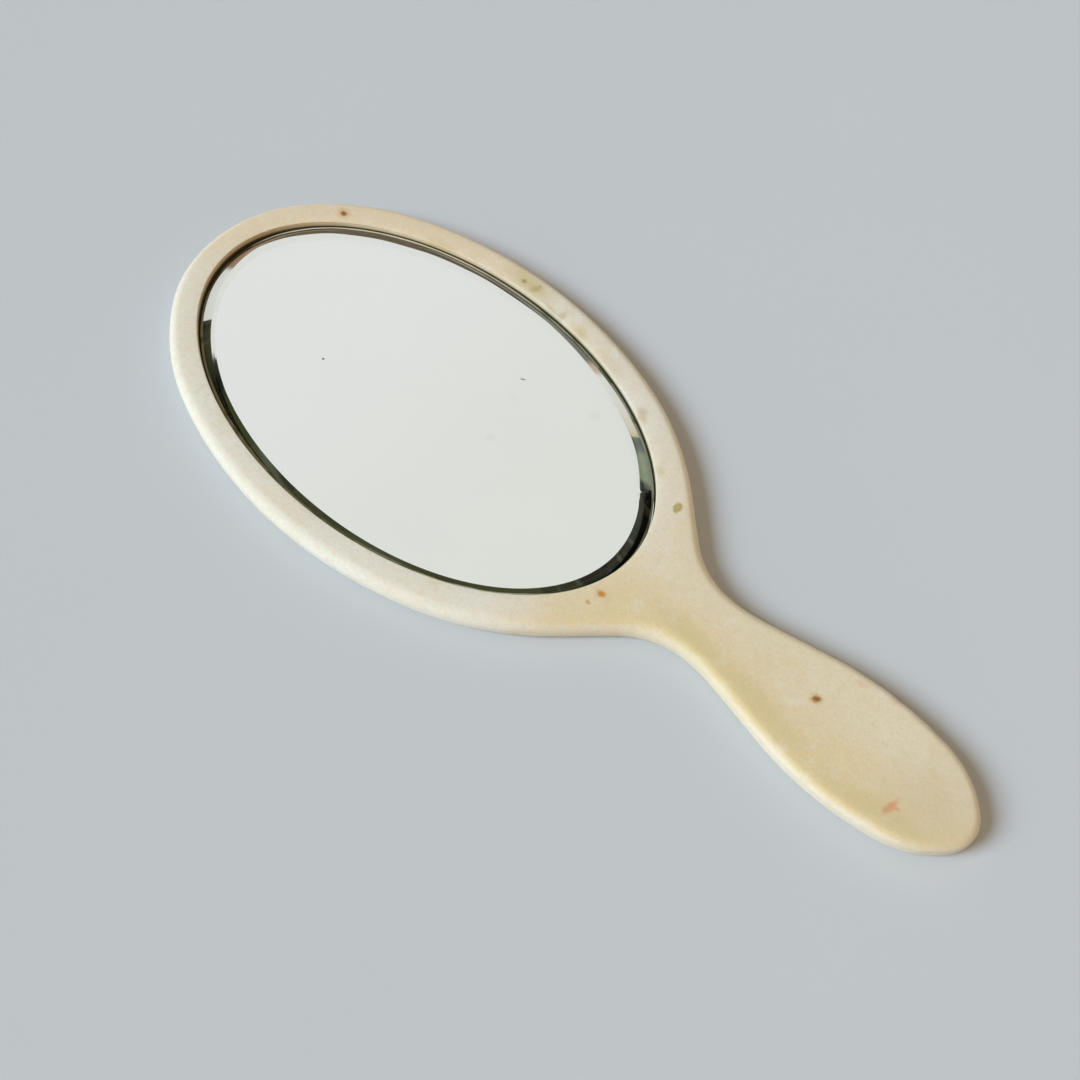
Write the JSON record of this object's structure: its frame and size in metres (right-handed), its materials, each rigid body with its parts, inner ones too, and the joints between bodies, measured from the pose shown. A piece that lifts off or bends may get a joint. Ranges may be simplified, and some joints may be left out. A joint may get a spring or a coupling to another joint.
{
  "type": "hand mirror",
  "caption": "Oval hand mirror: a one-piece ivory-coloured plate with a waisted neck and paddle handle, holding a bevelled looking glass in a recess.",
  "frame": {"origin": "on the back (resting) face, under the centre of the oval glass", "axes": "+X along the handle towards its tip, +Z out of the front face, the side of the glass"},
  "size_m": [0.2698, 0.1082, 0.0068],
  "materials": {
    "ivory_plate": "satin polish, yellowed and lightly stained with age",
    "card": "plain grey-brown card",
    "back_paint": "matt red-brown protective paint",
    "silver": "silvering",
    "glass": "polished clear glass, slightly green at the edge",
    "cement": "dull black-brown setting cement"
  },
  "bodies": {
    "root": {"frame": "ivory_plate", "cushion_card": "card", "backing_paint": "back_paint", "silver_coating": "silver", "mirror_glass": "glass", "glazing_cement": "cement"}
  },
  "joints": []
}
